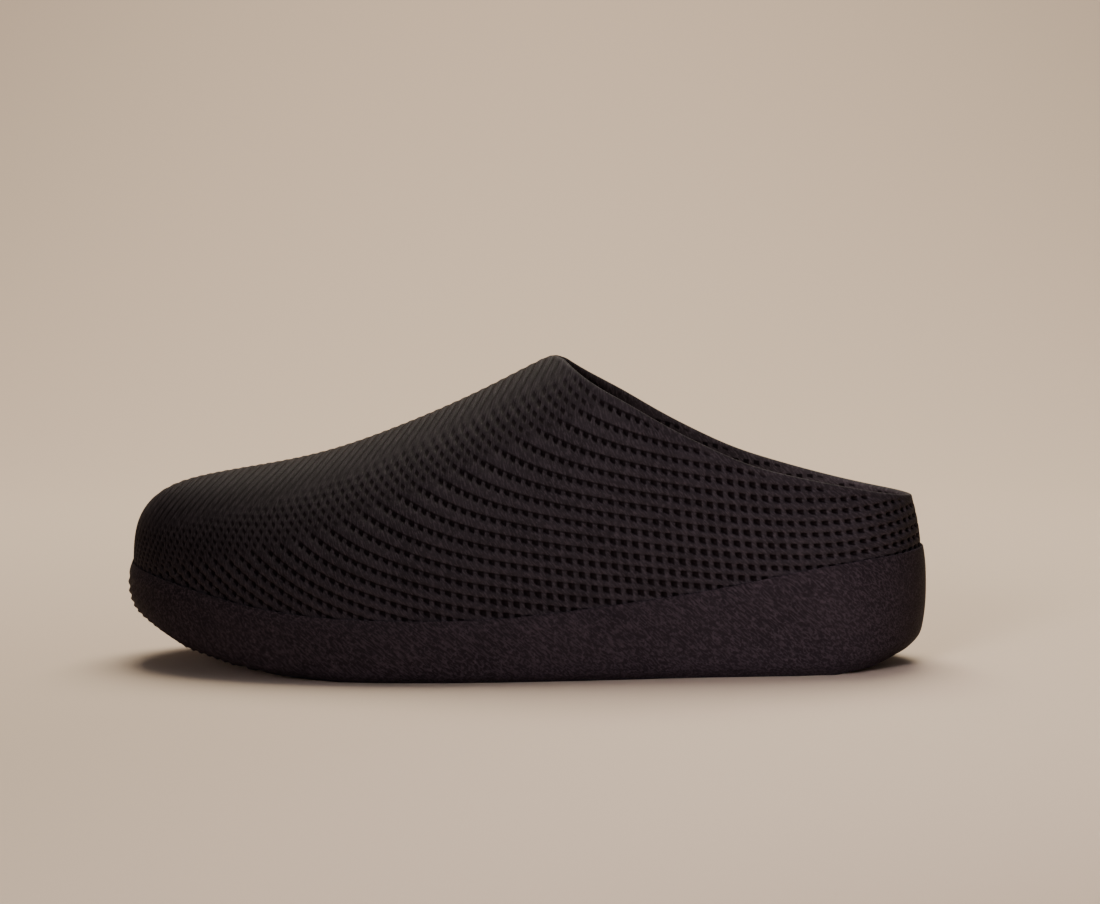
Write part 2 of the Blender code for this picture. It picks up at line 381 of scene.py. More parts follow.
upperSetup = {
    "inset": 1.9,            # from the widest outline of the sole
    "wall": 2.4,
    "columnStep": 0.9,       # mesh step along the sole
    "lowRows": 72,
    "highRows": 40,
    "sectionSteps": 90,      # points of a section before they are spaced evenly
    "sweepStart": 85.0,
    "cornerAngle": pi / 2 * 10 / 16,
    "cornerRun": 10.0,
    "rimRise": 0.6,
    "rimRows": 4,
    "peakLean": 0.109,       # the peak of the collar is rounded off square to this lean
    "peakRound": 2.6,
    "peakEase": 1.6,
    "topLine": [  # along, height that the waffle hangs from
        (0, 55.5), (22, 60), (47, 65), (71, 72), (96, 82.8), (121, 94.3), (150, 107.7), (187, 124.7),
        (225, 142.2), (240, 149.9), (255, 158.6), (270, 168.2), (285, 178.5),
    ],
    "latticeStart": 150.0,   # where columns and rows are counted from
    "columnPitch": 3.65,     # waffle columns along the top line
    "rowPitch": 7.0,         # waffle rows along the top line
    "rowSlope": 0.33,
    "rowTurn": 16.9,
    "rowMost": 2.0,          # limit of the rows' shift at the toe
    "columnLow": 55.8,       # drop where the columns stand upright
    "columnBow": 270.0,
    "columnLean": 0.17,
    "columnEase": 25.3,
    "ridgeLean": 0.45,       # the columns lean back over the ridge
    "toeLean": 0.45,         # and further towards the toe
    "toeLeanEnd": (85.0, 150.0),
    "ridgeStart": 12.0,
    "ridgeEase": 6.0,
    "ridgePlain": (3.0, 13.0),    # drop over which streaks give way to pits
    "streakTip": (3.0, 16.0),     # the streaks and then the pits die out at the tip of the toe
    "pitTip": (0.2, 2.4),
    "steepest": 8.0,         # limit of the outline's slope at the tip
    "toeArc": (60.0, 95.0),
    "heelArc": (238.0, 265.0),
    "heelStretch": 0.84,
    "toeFine": (20.0, 130.0),
    "toeFineShare": 0.32,    # how much closer the rows stand at the toe
    "wideStart": 68.0,       # drop below which they stand a little further apart
    "wideEase": 6.0,
    "wideShare": 0.08,
    "denseFull": 19.0,       # drop down to which the rows stand twice as close
    "denseEnd": 26.0,
    "denseTall": 0.76,       # the pits there are taller for their cell
    "denseDepth": 0.4,
    "grooveDense": 0.9,      # and lose most of the groove
    "grooveEnd": (185.0, 225.0),  # the grooves die out towards the heel
    "grooveLow": 0.55,       # and fade towards the sole
    "plainBand": 1.0,        # width of the smooth band at the collar
    "plainEase": 1.2,
    "plainInside": (0.2, 0.9),    # the lining's waffle runs nearly to the rim
    "lowStart": 52.0,        # the pits grow towards the sole, but not at the heel
    "lowFull": 84.0,
    "lowHeel": (215.0, 245.0),
    "lowDrop": 0.14,
    "pitWidth": 0.28,        # pit sizes in shares of a cell
    "pitTop": 0.2,
    "pitDrop": 0.16,
    "pitWedge": 0.28,
    "pitMargin": (0.02, 0.04),    # the relief reaches past the painted shade, across and up
    "pitLeast": 0.1,
    "pitSharp": 1.4,
    "pitDepth": 1.4,
    "grooveDrop": 0.07,      # the groove lies this far below the top of a pit
    "grooveWide": 0.1,
    "grooveDepth": 0.12,
    "streakDepth": 0.24,
    "flankEdge": (1.2, 0.75),     # soft edges of the painted shade, in shares of a pit and then of a cell
    "roofEdge": (0.05, -0.05),
    "groundEdge": (-0.08, 0.08),
    "grooveEdge": (0.09, 0.02),
    "streakEdge": (0.3, 0.05),
    "denseFade": 0.10,       # how dark the painted shade is in pits, grooves and streaks, over the close rows and over the ridge
    "denseShade": 0.2,
    "grooveStrength": 0.8,
    "streakStrength": 0.74,
    "streakBase": 0.09,
    "liningStrength": 0.9,
    "bandColour": (0.0160, 0.0126, 0.0150, 1),
    # colour of the painted shade in the pits, grooves, streaks and close rows
    "paintedShadeColour": (0.0042, 0.0023, 0.0029, 1),
    # painted light: the lining is the same knit as the band, made twice as light to stand in for light that
    # barely reaches the inner wall
    "liningPaintedLightColour": (0.0320, 0.0245, 0.0260, 1),
    "grainSize": 1400.0,
    "mottleSize": 90.0,
    "mottleTint": (0.35, 0.7, 1.0),   # low and high of the pattern, share
    "mottleGain": 1.35,
    "grainTint": (0.45, 0.75, 0.35),
    "grainGain": 1.7,
    "yarnTint": (0.46, 0.64, 1.0),
    "yarnGain": 2.2,
    "yarnTurn": (0.0, 0.0, 0.73),
    "yarnDraw": (2.0, 6.0, 1.0),
    "yarnSize": 1.0,
    "yarnRoughness": 0.6,
    "yarnRise": 0.5,
    "rough": (0.52, 0.7),
    "grainBump": (0.25, 0.0003),      # strength, height in metres
    "pitBump": (0.4, 0.0005),
    "specular": 0.034,
}
waffleMasks = ("waffleShown", "waffleDense", "wafflePitted", "waffleStreaked", "waffleDeeper", "waffleLined")


def collarHeight(along, side):  # both sides run together at the back of the heel
    join = lastShape["collarJoin"]
    share = easeStep(along, join, join + lastShape["collarJoinRun"])
    middle = (collarSide[-1](along) + collarSide[1](along)) / 2
    return collarSide[side](along) * (1 - share) + middle * share - upperSetup["rimRise"]


def upperPoint(station, side, angle):  # angle 0 at the sole, a quarter turn at the top line
    along, across = outline(station, side, upperSetup["inset"])
    foot = seatHeight(along) + lastShape["seatGap"]
    lean = easeStep(station, lastShape["leanStart"], lastShape["leanFull"])
    half = np.abs(across - sectionShift(along))
    reach = half + (lastShape["leanWidth"] - half) * lean
    inward = reach * (1 - np.maximum(np.cos(angle), 0) ** (2 / sectionSpan(along)))
    heading = turn(station)
    height = foot + (sectionTop(along) - foot) * np.sin(angle) ** (2 / sectionRise(along))
    along = along + lean * inward * np.cos(heading)
    across = across - side * inward * (1 - lean + lean * np.sin(heading))
    return along, across, height


def collarAngle(station, side):
    low = np.zeros_like(station)
    high = np.full_like(station, pi / 2)
    for _ in range(meshSetup["halvings"]):
        middle = (low + high) / 2
        along, across, height = upperPoint(station, side, middle)
        under = height < collarHeight(along, side)
        low = np.where(under, middle, low)
        high = np.where(under, high, middle)
    return low


def collarStation(angle, side):
    low = np.full_like(angle, lastShape["collarPeak"])
    high = np.full_like(angle, shoeLength)
    for _ in range(meshSetup["halvings"]):
        middle = (low + high) / 2
        before = collarAngle(middle, side) > angle
        low = np.where(before, middle, low)
        high = np.where(before, high, middle)
    return low


def evenRows(station, angle, side, rows):  # the same section with its points evenly apart
    place = toWorld(*upperPoint(station, side, angle))
    length = np.concatenate([[0], np.cumsum(np.linalg.norm(np.diff(place, axis=0), axis=1))])
    at = np.linspace(0, length[-1], rows + 1)
    return np.interp(at, length, station), np.interp(at, length, angle)


def upperColumns(side):
    setup = upperSetup
    peak = lastShape["collarPeak"]
    cornerAngle = setup["cornerAngle"]
    corner = collarStation(np.array([cornerAngle]), side)[0]
    first = corner + setup["cornerRun"]
    lateralFirst = collarStation(np.array([cornerAngle]), -1)[0] + setup["cornerRun"]
    lowAngles = np.linspace(0, cornerAngle, setup["sectionSteps"])
    highAngles = np.linspace(cornerAngle, pi / 2, setup["sectionSteps"])
    lowBack = corner - peak + setup["cornerRun"] * (1 - lowAngles / cornerAngle)
    highBack = collarStation(highAngles, side) - peak
    highBack[-1] = 0

    # both sides are spaced as the lateral one, so that their columns meet
    def vampRun(at):
        station = at * peak
        back = easeStep(station, setup["sweepStart"], peak) * (lateralFirst - peak)
        return outline(station + back, -1, setup["inset"])

    def quarterRun(at):
        return outline(lateralFirst + (shoeLength - lateralFirst) * at, -1, setup["inset"])

    stations = []
    angles = []
    for station in evenStations(vampRun, setup["columnStep"]) * peak:
        share = easeStep(station, setup["sweepStart"], peak)
        low = evenRows(station + share * lowBack, lowAngles, side, setup["lowRows"])
        high = evenRows(station + share * highBack, highAngles, side, setup["highRows"])
        stations.append(np.concatenate([low[0], high[0][1:]]))
        angles.append(np.concatenate([low[1], high[1][1:]]))
    vampCount = len(stations)
    shares = evenStations(quarterRun, setup["columnStep"])[1:]
    rise = np.linspace(0, 1, setup["sectionSteps"])
    ends = collarAngle(corner + (shoeLength - corner) * shares, side)
    for share, end in zip(shares, ends):
        low = first + (shoeLength - first) * share
        high = corner + (shoeLength - corner) * share
        station, angle = evenRows(low + (high - low) * rise, end * rise, side, setup["lowRows"])
        stations.append(station)
        angles.append(angle)
    return stations, angles, vampCount


def waffleMap(station, height):  # lattice coordinates of a point, columns and rows, and then its masks
    setup = upperSetup
    slope = np.minimum(np.hypot(1, np.gradient(planSide[-1](finePlan), finePlan)), setup["steepest"])
    toeRate = 1 + (slope - 1) * (1 - easeStep(finePlan, *setup["toeArc"]))
    rate = toeRate + (slope * setup["heelStretch"] - toeRate) * easeStep(finePlan, *setup["heelArc"])
    rowRate = toeRate * (1 + setup["toeFineShare"] * (1 - easeStep(finePlan, *setup["toeFine"])))
    runs = []
    for steps in (rate, rowRate):
        run = np.concatenate([[0], np.cumsum((steps[1:] + steps[:-1]) / 2 * np.diff(finePlan))])
        runs.append(np.interp(station, finePlan, run - np.interp(setup["latticeStart"], finePlan, run)))
    drop = tableCurve(setup["topLine"])(station) - height

    hang = np.maximum(drop, 0)
    hang = hang - setup["wideShare"] * softOver(hang - setup["wideStart"], setup["wideEase"])
    steep = setup["rowSlope"]
    rowShift = hang / steep - setup["rowTurn"] / steep ** 2 * np.log(1 + steep * hang / setup["rowTurn"])
    rowShift = rowShift * np.interp(station, finePlan, np.minimum(rowRate, setup["rowMost"]))

    below = np.maximum(drop - setup["columnLow"], 0)
    ease = setup["columnEase"]
    lean = setup["ridgeLean"] + setup["toeLean"] * (1 - easeStep(station, *setup["toeLeanEnd"]))
    columnShift = np.minimum(drop - setup["columnLow"], 0) ** 2 / setup["columnBow"]
    columnShift = columnShift + setup["columnLean"] * (below - ease * (1 - np.exp(-below / ease)))
    columnShift = columnShift + lean * softOver(setup["ridgeStart"] - drop, setup["ridgeEase"])

    column = (runs[0] - columnShift) / setup["columnPitch"]
    row = (runs[1] - rowShift) / setup["rowPitch"]
    dense = 1 - easeStep(drop, setup["denseFull"], setup["denseEnd"])
    ridge = 1 - easeStep(drop, *setup["ridgePlain"])
    low = easeStep(drop, setup["lowStart"], setup["lowFull"]) * (1 - easeStep(station, *setup["lowHeel"]))
    lined = (1 - setup["grooveDense"] * dense) * (1 - setup["grooveLow"] * low)
    lined = lined * (1 - easeStep(station, *setup["grooveEnd"]))
    pitted = (1 - ridge) * easeStep(station, *setup["pitTip"])
    streaked = ridge * easeStep(station, *setup["streakTip"])
    return column, row, dense, pitted, streaked, low * setup["lowDrop"], lined


def waffleRelief(column, row, dense, pitted, streaked, deeper, lined):  # depth of pits, grooves and streaks
    setup = upperSetup
    wider, taller = setup["pitMargin"]
    across = column - np.round(column)
    depth = []
    for rows, squeeze in ((1, 1), (2, setup["denseTall"])):
        up = (row * rows - np.round(row * rows)) * squeeze
        low = setup["pitDrop"] + deeper + setup["pitWedge"] * across
        middle = (setup["pitTop"] - low) / 2
        tall = (up - middle) / np.maximum((setup["pitTop"] + low) / 2 + taller, setup["pitLeast"])
        pit = np.exp(-((across / (setup["pitWidth"] + wider)) ** 2 + tall ** 2) ** setup["pitSharp"])
        line = (up - setup["pitTop"] + setup["grooveDrop"]) / setup["grooveWide"]
        groove = np.exp(-line ** 2) * (1 - pit)
        depth.append(setup["pitDepth"] * pit + setup["grooveDepth"] * groove * lined)
    pits = depth[0] * (1 - dense) + depth[1] * dense * setup["denseDepth"]
    streaks = setup["streakDepth"] * (0.5 + 0.5 * np.cos(2 * pi * column))
    return -(pits * pitted + streaks * streaked)


def upperSheet():  # outer face of the shell, still without its relief
    setup = upperSetup
    points = []
    lattice = []
    grids = {}
    for side in (-1, 1):
        stations, angles, vampCount = upperColumns(side)
        grids[side] = []
        for station, angle in zip(stations, angles):
            along, across, height = upperPoint(station, side, angle)
            grids[side].append(addRow(points, along, across, height))
            lattice.append(np.stack(waffleMap(station, height), axis=-1))

    # the two sides share the tip of the toe, the top line and the back of the heel
    points = np.concatenate(points)
    lateral, medial = grids[-1], grids[1]
    same = np.arange(len(points))
    same[medial[0]] = lateral[0]
    same[medial[-1]] = lateral[-1]
    for k in range(vampCount):
        same[medial[k][-1]] = lateral[k][-1]
    kept = np.unique(same)
    order = np.full(len(points), -1)
    order[kept] = np.arange(len(kept))
    grids = {side: [order[same[column]] for column in grid] for side, grid in grids.items()}
    points = points[kept]
    lattice = np.concatenate(lattice)[kept]

    # the peak of the collar is rounded off
    square = np.array([setup["peakLean"], 0, 1]) / np.hypot(setup["peakLean"], 1)
    reach = points @ square
    over = np.maximum(reach - reach.max() + setup["peakRound"] * mm, 0)
    ease = setup["peakEase"] * mm
    points = points - square * (over - ease * (1 - np.exp(-over / ease)))[:, None]
    return points, lattice, grids, vampCount


def sheetNormals(points, faces):
    sheet = bpy.data.meshes.new("upperSheet")
    sheet.from_pydata(points, [], faces)
    normals = np.zeros(len(points) * 3)
    sheet.vertex_normals.foreach_get("vector", normals)
    bpy.data.meshes.remove(sheet)
    return normals.reshape(-1, 3)


def makeUpper():
    setup = upperSetup
    points, lattice, grids, vampCount = upperSheet()
    faces = []
    for side, grid in grids.items():
        for first, second in zip(grid, grid[1:]):
            for j in range(min(len(first), len(second)) - 1):
                corners = [first[j], second[j], second[j + 1], first[j + 1]]
                faces.append(corners if side < 0 else corners[::-1])
    normals = sheetNormals(points, faces)

    # collar loop, from the peak down the lateral side, round the heel and back up the medial side
    collar = {}
    for side, grid in grids.items():
        front = grid[vampCount - 1]
        collar[side] = list(front[setup["lowRows"]:][::-1]) + [column[-1] for column in grid[vampCount:]]
    rim = np.array(collar[-1] + collar[1][-2:0:-1])
    foot = np.array([column[0] for column in grids[-1]] + [column[0] for column in grids[1]][-2:0:-1])

    # relief, away from the plain band
    tree = KDTree(len(rim))
    for k, index in enumerate(rim):
        tree.insert(points[index], k)
    tree.balance()
    fromRim = np.array([tree.find(point)[2] for point in points]) / mm
    shown = easeStep(fromRim, setup["plainBand"], setup["plainBand"] + setup["plainEase"])
    relief = waffleRelief(*lattice.T) * shown
    allPoints = [points + normals * (relief * mm)[:, None]]
    allLattice = [lattice]
    allShown = [shown]

    # rounded rim
    ahead = points[np.roll(rim, -1)] - points[np.roll(rim, 1)]
    away = np.cross(normals[rim], ahead)
    away /= np.linalg.norm(away, axis=1)[:, None]
    count = len(points)
    rows = [rim]
    for k in range(1, setup["rimRows"] + 1):
        angle = pi * k / (setup["rimRows"] + 1)
        across = setup["wall"] / 2 * (1 - np.cos(angle)) * mm
        allPoints.append(points[rim] - normals[rim] * across + away * setup["rimRise"] * mm * np.sin(angle))
        allLattice.append(lattice[rim])
        allShown.append(shown[rim])
        rows.append(np.arange(count, count + len(rim)))
        count += len(rim)
    for first, second in zip(rows, rows[1:]):
        for k in range(len(rim)):
            n = (k + 1) % len(rim)
            faces.append([first[k], first[n], second[n], second[k]])
    outerFaces = len(faces)

    # inner wall, at half the mesh
    inner = np.full(len(points), -1)
    for grid in grids.values():
        for column in grid[::2]:
            inner[column[::2]] = 0
    innerKept = np.flatnonzero(inner == 0)
    inner[innerKept] = np.arange(count, count + len(innerKept))
    allPoints.append(points[innerKept] - normals[innerKept] * setup["wall"] * mm)
    allLattice.append(lattice[innerKept])
    allShown.append(easeStep(fromRim[innerKept], *setup["plainInside"]))
    for side, grid in grids.items():
        for first, second in zip(grid[::2], grid[2::2]):
            joinRows(faces, inner[first[::2]], inner[second[::2]], side < 0)
    last = rows[-1]
    for k in range(0, len(rim), 2):
        n = (k + 2) % len(rim)
        faces.append([last[k], last[k + 1], last[n], inner[rim[n]], inner[rim[k]]])
    for k in range(0, len(foot), 2):
        n = (k + 2) % len(foot)
        faces.append([foot[n], foot[k + 1], foot[k], inner[foot[k]], inner[foot[n]]])

    upper = makePiece("waffle_upper", allPoints, faces)
    mesh = upper.data
    lattice = np.concatenate(allLattice)
    corners = np.zeros(len(mesh.loops), int)
    mesh.loops.foreach_get("vertex_index", corners)
    mesh.uv_layers.new(name="waffle").data.foreach_set("uv", lattice[corners, :2].ravel())
    masks = [np.concatenate(allShown)] + list(lattice.T[2:])
    for name, values in zip(waffleMasks, masks):
        mesh.attributes.new(name, "FLOAT", "POINT").data.foreach_set("value", values)
    slots = np.zeros(len(mesh.polygons), int)
    slots[outerFaces:] = 1
    mesh.polygons.foreach_set("material_index", slots)
    bpy.ops.object.shade_smooth()
    return upper


def makeWaffleGroup():  # masks for the painted shade: wedge-shaped pits that hang from a thin groove, and streaks, one cell to each unit of the map
    setup = upperSetup
    group, given, end = newGroup("waffleCells", "Lattice",
                                 ("Dense", "Pit Width", "Pit Top", "Pit Drop", "Wedge"),
                                 ("Pit", "Groove", "Streak"))
    parts = addNode(group, "ShaderNodeSeparateXYZ", None, {0: given["Lattice"]}).outputs
    across = cellPlace(group, parts[0])
    wide = maths(group, "ABSOLUTE", across)
    flank = softStep(group, maths(group, "DIVIDE", wide, given["Pit Width"]), *setup["flankEdge"])
    taper = maths(group, "ADD", given["Pit Drop"], maths(group, "MULTIPLY", across, given["Wedge"]))
    pits = []
    grooves = []
    for rows, squeeze in ((1.0, 1.0), (2.0, setup["denseTall"])):
        up = product(group, cellPlace(group, product(group, parts[1], rows)), squeeze)
        fromTop = maths(group, "SUBTRACT", up, given["Pit Top"])
        roof = softStep(group, fromTop, *setup["roofEdge"])
        ground = softStep(group, maths(group, "ADD", up, taper), *setup["groundEdge"])
        pits.append(product(group, flank, roof, ground))
        line = maths(group, "ABSOLUTE", maths(group, "ADD", fromTop, setup["grooveDrop"]))
        grooves.append(softStep(group, line, *setup["grooveEdge"]))
    results = {"Streak": softStep(group, wide, *setup["streakEdge"])}
    for name, (wideRows, closeRows) in (("Pit", pits), ("Groove", grooves)):
        mixed = addNode(group, "ShaderNodeMix", None, {0: given["Dense"], 2: wideRows, 3: closeRows})
        results[name] = mixed.outputs[0]
    feed(group, end, results)
    return group


waffleGroup = makeWaffleGroup()


def upperMaterial(name, colour, strength):
    setup = upperSetup
    material, tree, shader = newMaterial(name)
    lattice = addNode(tree, "ShaderNodeUVMap", {"uv_map": "waffle"}).outputs["UV"]
    place = addNode(tree, "ShaderNodeTexCoord").outputs["Object"]
    shown, dense, pitted, streaked, deeper, lined = [
        addNode(tree, "ShaderNodeAttribute", {"attribute_name": mask}).outputs["Fac"] for mask in waffleMasks]
    cells = useGroup(tree, waffleGroup, {
        "Lattice": lattice, "Dense": dense, "Pit Width": setup["pitWidth"], "Pit Top": setup["pitTop"],
        "Pit Drop": maths(tree, "ADD", deeper, setup["pitDrop"]), "Wedge": setup["pitWedge"]})
    grain = useGroup(tree, grainGroup, {
        "Vector": place, "Grain Size": setup["grainSize"], "Mottle Size": setup["mottleSize"]})

    # painted shade: the pits, grooves and ridge streaks darkened as if in shadow, and the close rows darkened
    # as a whole
    pitted = product(tree, shown, pitted)
    fade = maths(tree, "SUBTRACT", 1.0, product(tree, dense, setup["denseFade"]))
    pit = product(tree, cells["Pit"], pitted, strength, fade)
    groove = product(tree, cells["Groove"], pitted, lined, setup["grooveStrength"] * strength)
    streak = product(tree, cells["Streak"], setup["streakStrength"] * strength)
    streak = product(tree, maths(tree, "ADD", streak, setup["streakBase"]), streaked, shown)
    paintedShade = product(tree, dense, shown, setup["denseShade"])
    for value in (pit, groove, streak):
        paintedShade = maths(tree, "MAXIMUM", paintedShade, value)

    yarn = threadNoise(tree, lattice, setup["yarnTurn"], setup["yarnDraw"], setup["yarnSize"],
                       setup["yarnRoughness"])
    band = tint(tree, colour, gained(colour, setup["mottleGain"]), grain["Mottle"], *setup["mottleTint"])
    band = tint(tree, band, gained(colour, setup["grainGain"]), grain["Grain"], *setup["grainTint"])
    band = tint(tree, band, gained(colour, setup["yarnGain"]), yarn, *setup["yarnTint"])
    lift = maths(tree, "SUBTRACT", product(tree, yarn, setup["yarnRise"]), paintedShade)
    fine = bumpFrom(tree, grain["Grain"], *setup["grainBump"])
    # the band is mixed towards the painted shade colour
    feed(tree, shader, {
        "Base Color": mixColour(tree, paintedShade, band, setup["paintedShadeColour"]),
        "Roughness": roughFrom(tree, grain["Grain"], *setup["rough"]),
        "Normal": bumpFrom(tree, product(tree, lift, shown), *setup["pitBump"], fine),
        "Specular IOR Level": setup["specular"],
    })
    return material


upper = makeUpper()
upper.data.materials.append(upperMaterial("waffleUpper", upperSetup["bandColour"], 1.0))
# the lining's colour is painted lighter to stand in for light on the inner wall
upper.data.materials.append(
    upperMaterial("waffleLiningPaintedLight", upperSetup["liningPaintedLightColour"], upperSetup["liningStrength"]))
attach(upper, "root")
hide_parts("upper")
print("upper made,", len(upper.data.polygons), "faces")


# Sole: cup sole with a rounded lip, a grained side and ribs underneath

soleSetup = {
    "step": 1.0,
    "sideRows": 34,
    "sidePower": 1.15,       # the rows stand closer at the foot of the side
    "acrossRows": 44,
    "seatRows": 8,
    "side": [  # share of the height, inset from the widest outline
        (0, 5), (0.07, 2.7), (0.2, 1.0), (0.42, 0.1), (0.65, 0), (0.85, 0.35), (1, 1.15),
    ],
    "lip": [  # inset, drop below the top edge
        (1.08, 0.42), (1.17, 0.16), (1.3, 0.03), (1.5, 0.0), (1.7, 0.08), (1.8, 0.35), (1.8, 3.0),
    ],
    "ribPitch": 6.4,
    "ribDepth": 1.1,
    "ribFlank": (0.1, 0.75),
    "ribWave": 2.2,
    "ribWaveRun": 17.0,
    "ribEdge": 4.0,
    "toeRibPitch": 3.7,      # finer ribs under the toe, drawn up round its tip
    "toeRibDepth": 0.6,
    "toeRibEnd": (38.0, 56.0),
    "toeRibRise": (0.0, 0.08),
    "toeRibFade": (0.6, 0.8),
    "toeOpen": (45.0, 60.0),      # before this the ribs run out through the edge
    "notchRise": 0.06,
    "toeTip": (6.0, 20.0),
    "tipLean": 0.5,          # the edge leans in to the upper at the tip
    "tipLeanRise": (0.4, 1.0),
    "colour": (0.0130, 0.0100, 0.0125, 1),
    "paleColour": (0.0410, 0.0302, 0.0374, 1),
    "grainSize": 900.0,
    "mottleSize": 45.0,
    "mottleTint": (0.3, 0.75, 0.15),  # low and high of the pattern, share
    "grainTint": (0.5, 0.7, 0.5),
    "grainGain": 1.5,
    "hairTurn": (0.0, -0.7, 0.0),
    "hairDraw": (0.17, 1.0, 1.0),
    "hairSize": 2000.0,
    "hairRoughness": 0.5,
    "hairEdge": (0.44, 0.64),
    "hairShare": 0.66,
    "hairRise": 0.5,
    "rough": (0.5, 0.68),
    "bump": (0.35, 0.0003),           # strength, height in metres
    "specular": 0.02,
}


def toeRibs(along, height):
    setup = soleSetup
    return setup["toeRibDepth"] * (0.5 + 0.5 * np.cos(2 * pi * (along - height) / setup["toeRibPitch"]))


def ribRelief(along, across):
    setup = soleSetup
    phase = (along + setup["ribWave"] * np.sin(2 * pi * across / setup["ribWaveRun"])) / setup["ribPitch"]
    ribs = setup["ribDepth"] * easeStep(np.cos(2 * pi * phase), *setup["ribFlank"])
    fine = toeRibs(along, soleUnder(along))
    return fine + (ribs - fine) * easeStep(along, *setup["toeRibEnd"])


def makeSole():
    setup = soleSetup
    stations = evenStations(lambda at: outline(shoeLength * at, -1, 0.0), setup["step"]) * shoeLength
    footInset = setup["side"][0][1]
    firstInset = setup["lip"][0][0]
    seatInset = setup["lip"][-1][0]
    sideCurve = tableCurve(setup["side"])
    under = soleUnder(outline(stations, 1, footInset)[0])
    top = soleEdge(stations)
    tip = 1 - easeStep(stations, *setup["toeTip"])
    toeOpen = 1 - easeStep(stations, *setup["toeOpen"])
    points = []
    faces = []
    rings = []
    shares = np.linspace(0, 1, setup["sideRows"]) ** setup["sidePower"]
    for share in shares[:-1]:
        notch = max(0.0, 1 - share / setup["notchRise"]) * toeOpen
        level = under + (top - under) * share
        inset = sideCurve(share) + tip * setup["tipLean"] * easeStep(share, *setup["tipLeanRise"])
        along = outline(stations, -1, inset)[0]
        ribbed = easeStep(share, *setup["toeRibRise"]) * (1 - easeStep(share, *setup["toeRibFade"]))
        rings.append(addRing(points, stations, inset + toeRibs(along, level) * tip * ribbed,
                             lambda along, across: level + notch * ribRelief(along, across)))
    for inset, drop in setup["lip"][:-1]:
        lean = tip * setup["tipLean"] * (seatInset - inset) / (seatInset - firstInset)
        rings.append(addRing(points, stations, inset + lean, lambda along, across: top - drop))
    rings.append(addRing(points, stations, seatInset, lambda along, across: seatHeight(along)))
    joinRings(faces, rings)

    def underHeight(along, across, share):
        width = planSide[1](stations) - planSide[-1](stations)
        edge = np.minimum(share, 1 - share) * width
        shown = np.maximum(easeStep(edge, 0, setup["ribEdge"]), toeOpen)
        return under + ribRelief(along, across) * shown

    fillAcross(points, faces, rings[0], stations, footInset, setup["acrossRows"], False, underHeight)
    fillAcross(points, faces, rings[-1], stations, seatInset, setup["seatRows"], True,
               lambda along, across, share: seatHeight(along))
    sole = makePiece("cup_sole", points, faces)
    weldPiece()
    return sole


def soleMaterial():
    setup = soleSetup
    material, tree, shader = newMaterial("soleRubber")
    place = addNode(tree, "ShaderNodeTexCoord").outputs["Object"]
    grain = useGroup(tree, grainGroup, {
        "Vector": place, "Grain Size": setup["grainSize"], "Mottle Size": setup["mottleSize"]})
    hair = threadNoise(tree, place, setup["hairTurn"], setup["hairDraw"], setup["hairSize"],
                       setup["hairRoughness"])
    lines = softStep(tree, hair, *setup["hairEdge"])
    pale = setup["paleColour"]
    colour = tint(tree, setup["colour"], pale, grain["Mottle"], *setup["mottleTint"])
    colour = mixColour(tree, product(tree, lines, setup["hairShare"]), colour, pale)
    colour = tint(tree, colour, gained(pale, setup["grainGain"]), grain["Grain"], *setup["grainTint"])
    height = maths(tree, "ADD", product(tree, lines, setup["hairRise"]), grain["Grain"])
    feed(tree, shader, {
        "Base Color": colour,
        "Roughness": roughFrom(tree, grain["Grain"], *setup["rough"]),
        "Normal": bumpFrom(tree, height, *setup["bump"]),
        "Specular IOR Level": setup["specular"],
    })
    return material


sole = makeSole()
sole.data.materials.append(soleMaterial())
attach(sole, "root")
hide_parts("sole")
print("sole made,", len(sole.data.polygons), "faces")


# Footbed: a slightly dished slab with a rounded edge and a fine weave

footbedSetup = {
    "inset": 4.9,
    "thick": 4.0,
    "step": 1.6,
    "acrossRows": 30,
    "edge": [  # further inset, share of the thickness
        (0.0, 0.0), (0.0, 0.35), (0.25, 0.72), (0.8, 0.93), (1.6, 1.0),
    ],
    "dish": 0.8,
    "dishRun": 0.35,
    "colour": (0.014, 0.011, 0.012, 1),
    "threadColour": (0.028, 0.022, 0.023, 1),
    "grainSize": 1200.0,
    "mottleSize": 60.0,
    "mottleTint": (0.4, 0.7, 0.5),    # low and high of the pattern, share
    "weaveSize": 260.0,
    "weaveDistortion": 0.6,
    "weaveDetail": 1.0,
    "grainRise": 0.4,
    "rough": (0.78, 0.92),
    "bump": (0.4, 0.0003),            # strength, height in metres
}


def makeFootbed():
    setup = footbedSetup
    inset = setup["inset"]
    stations = evenStations(lambda at: outline(shoeLength * at, -1, inset), setup["step"]) * shoeLength
    points = []
    faces = []

    def level(along, share):
        return seatHeight(along) + lastShape["seatGap"] + setup["thick"] * share

    def dished(along, across, share):
        return level(along, 1.0) - setup["dish"] * easeStep(min(share, 1 - share), 0.0, setup["dishRun"])

    rings = [addRing(points, stations, inset + further, lambda along, across: level(along, share))
             for further, share in setup["edge"]]
    joinRings(faces, rings)
    fillAcross(points, faces, rings[0], stations, inset, setup["acrossRows"], False,
               lambda along, across, share: level(along, 0.0))
    fillAcross(points, faces, rings[-1], stations, inset + setup["edge"][-1][0], setup["acrossRows"], True,
               dished)
    footbed = makePiece("footbed", points, faces)
    weldPiece()
    return footbed


